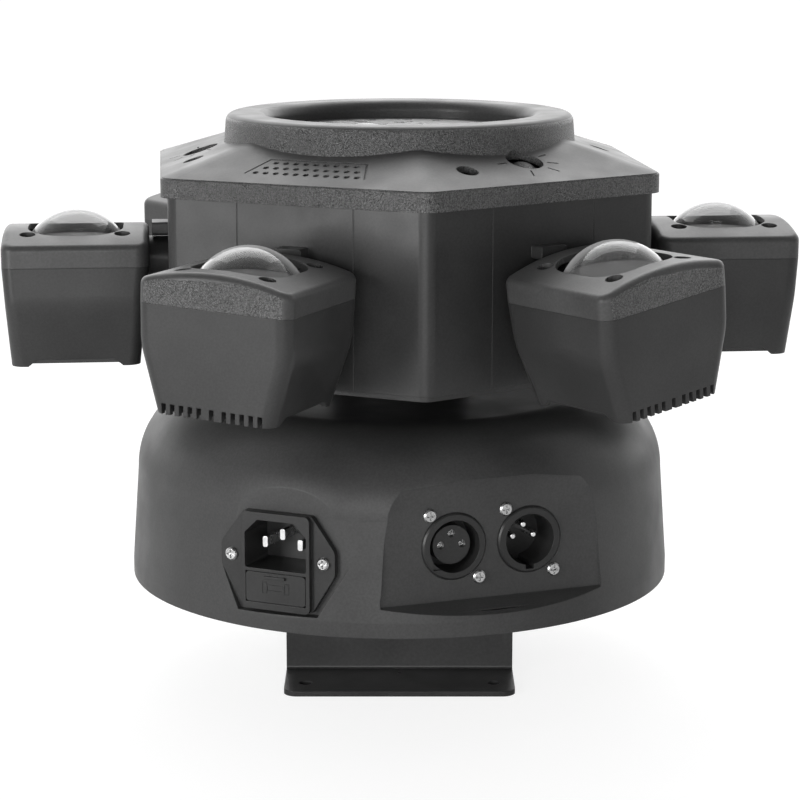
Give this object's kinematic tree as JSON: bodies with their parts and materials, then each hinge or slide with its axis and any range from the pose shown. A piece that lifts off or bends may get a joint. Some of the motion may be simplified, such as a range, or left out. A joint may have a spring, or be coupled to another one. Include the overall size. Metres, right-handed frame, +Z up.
{
  "type": "multi-arm effect light",
  "caption": "Ceiling or floor effect light: a round base with power and signal connectors carries a turning six-sided body with tilting single-lens lamp heads around it.",
  "frame": {"origin": "on the turning axis, at the underside of the mounting bracket flanges", "axes": "+Z up along the turning axis, -Y towards the side with the connectors, +X to the right when looking at the connectors"},
  "size_m": [0.3046, 0.2951, 0.2167],
  "materials": {
    "bracket_black": "satin",
    "zinc_steel": "satin",
    "base_abs": "textured",
    "bright_screws": "polished",
    "inlet_plastic": "satin",
    "bright_contacts": "polished",
    "drawer_plastic": "satin",
    "fuse_glass": "clear",
    "connector_black": "satin",
    "board_green": "satin",
    "window_dark": "gloss",
    "button_rubber": "matte",
    "motor_dark": "satin",
    "pulley_aluminium": "satin",
    "belt_rubber": "matte",
    "bearing_steel": "satin",
    "inner_plastic": "satin",
    "spindle_black": "satin",
    "rotor_abs": "satin",
    "cover_abs": "textured",
    "window_frosted": "frosted",
    "head_abs": "satin",
    "head_cover_abs": "textured",
    "lens_clear": "clear",
    "led_black": "satin"
  },
  "bodies": {
    "base": {"mounting_bracket": "bracket_black", "base_plate": "zinc_steel", "base_housing": "base_abs", "base_fasteners": "bright_screws", "power_inlet": "inlet_plastic", "connector_contacts": "bright_contacts", "dmx_socket": "connector_black", "dmx_plug": "connector_black", "control_board": "board_green", "power_supply": "board_green", "display_window": "window_dark", "pan_motor": "motor_dark", "pan_belt": "belt_rubber", "pan_bearing": "bearing_steel", "slip_ring": "inner_plastic"},
    "rotor": {"pan_spindle": "spindle_black", "spindle_pulley": "inner_plastic", "rotor_floor": "rotor_abs", "rotor_shell": "rotor_abs", "top_cover": "cover_abs", "top_window": "window_frosted", "effect_board": "board_green", "tilt_motors": "motor_dark"},
    "drive_pulley": {"motor_pulley": "pulley_aluminium"},
    "drawer": {"fuse_drawer": "drawer_plastic", "fuse": "fuse_glass"},
    "key_menu": {"button_menu": "button_rubber"},
    "key_down": {"button_down": "button_rubber"},
    "key_up": {"button_up": "button_rubber"},
    "key_enter": {"button_enter": "button_rubber"},
    "head_1": {"head_shell_1": "head_abs", "head_cover_1": "head_cover_abs", "lens_1": "lens_clear", "led_module_1": "led_black", "tilt_spindle_1": "spindle_black"},
    "head_2": {"head_shell_2": "head_abs", "head_cover_2": "head_cover_abs", "lens_2": "lens_clear", "led_module_2": "led_black", "tilt_spindle_2": "spindle_black"},
    "head_3": {"head_shell_3": "head_abs", "head_cover_3": "head_cover_abs", "lens_3": "lens_clear", "led_module_3": "led_black", "tilt_spindle_3": "spindle_black"},
    "head_4": {"head_shell_4": "head_abs", "head_cover_4": "head_cover_abs", "lens_4": "lens_clear", "led_module_4": "led_black", "tilt_spindle_4": "spindle_black"},
    "head_5": {"head_shell_5": "head_abs", "head_cover_5": "head_cover_abs", "lens_5": "lens_clear", "led_module_5": "led_black", "tilt_spindle_5": "spindle_black"},
    "head_6": {"head_shell_6": "head_abs", "head_cover_6": "head_cover_abs", "lens_6": "lens_clear", "led_module_6": "led_black", "tilt_spindle_6": "spindle_black"}
  },
  "joints": [
    {"name": "pan", "type": "hinge", "parent": "base", "child": "rotor", "pos_m": [0, 0, 0.1], "axis": [0, 0, 1], "continuous": true},
    {"name": "motor_turn", "type": "hinge", "parent": "base", "child": "drive_pulley", "pos_m": [0.062, 0.01, 0.09], "axis": [0, 0, 1], "continuous": true},
    {"name": "tilt_1", "type": "hinge", "parent": "rotor", "child": "head_1", "pos_m": [-0.04163, -0.09092, 0.1622], "axis": [-0.4163, -0.9092, 0], "range_deg": [-102.4, 107.6]},
    {"name": "tilt_2", "type": "hinge", "parent": "rotor", "child": "head_2", "pos_m": [0.06101, -0.07923, 0.1622], "axis": [0.6101, -0.7923, 0], "range_deg": [-112.7, 97.3]},
    {"name": "tilt_3", "type": "hinge", "parent": "rotor", "child": "head_3", "pos_m": [0.09956, 0.00941, 0.1622], "axis": [0.9956, 0.0941, 0], "range_deg": [-105, 105]},
    {"name": "tilt_4", "type": "hinge", "parent": "rotor", "child": "head_4", "pos_m": [0.04163, 0.09092, 0.1622], "axis": [0.4163, 0.9092, 0], "range_deg": [-105, 105]},
    {"name": "tilt_5", "type": "hinge", "parent": "rotor", "child": "head_5", "pos_m": [-0.05793, 0.08151, 0.1622], "axis": [-0.5793, 0.8151, 0], "range_deg": [-105, 105]},
    {"name": "tilt_6", "type": "hinge", "parent": "rotor", "child": "head_6", "pos_m": [-0.09956, -0.00941, 0.1622], "axis": [-0.9956, -0.0941, 0], "range_deg": [-105, 105]},
    {"name": "drawer_slide", "type": "slide", "parent": "base", "child": "drawer", "axis": [-0.4067, -0.9135, 0], "range_m": [0, 0.013]},
    {"name": "key_menu_press", "type": "slide", "parent": "base", "child": "key_menu", "axis": [0, -1, 0], "range_m": [0, 0.0007], "stiffness_N_per_m": 400, "springref_m": -0.001},
    {"name": "key_down_press", "type": "slide", "parent": "base", "child": "key_down", "axis": [0, -1, 0], "range_m": [0, 0.0007], "stiffness_N_per_m": 400, "springref_m": -0.001},
    {"name": "key_up_press", "type": "slide", "parent": "base", "child": "key_up", "axis": [0, -1, 0], "range_m": [0, 0.0007], "stiffness_N_per_m": 400, "springref_m": -0.001},
    {"name": "key_enter_press", "type": "slide", "parent": "base", "child": "key_enter", "axis": [0, -1, 0], "range_m": [0, 0.0007], "stiffness_N_per_m": 400, "springref_m": -0.001}
  ],
  "couplings": [
    {"joint": "motor_turn", "follows": "pan", "ratio": 2.9167}
  ]
}
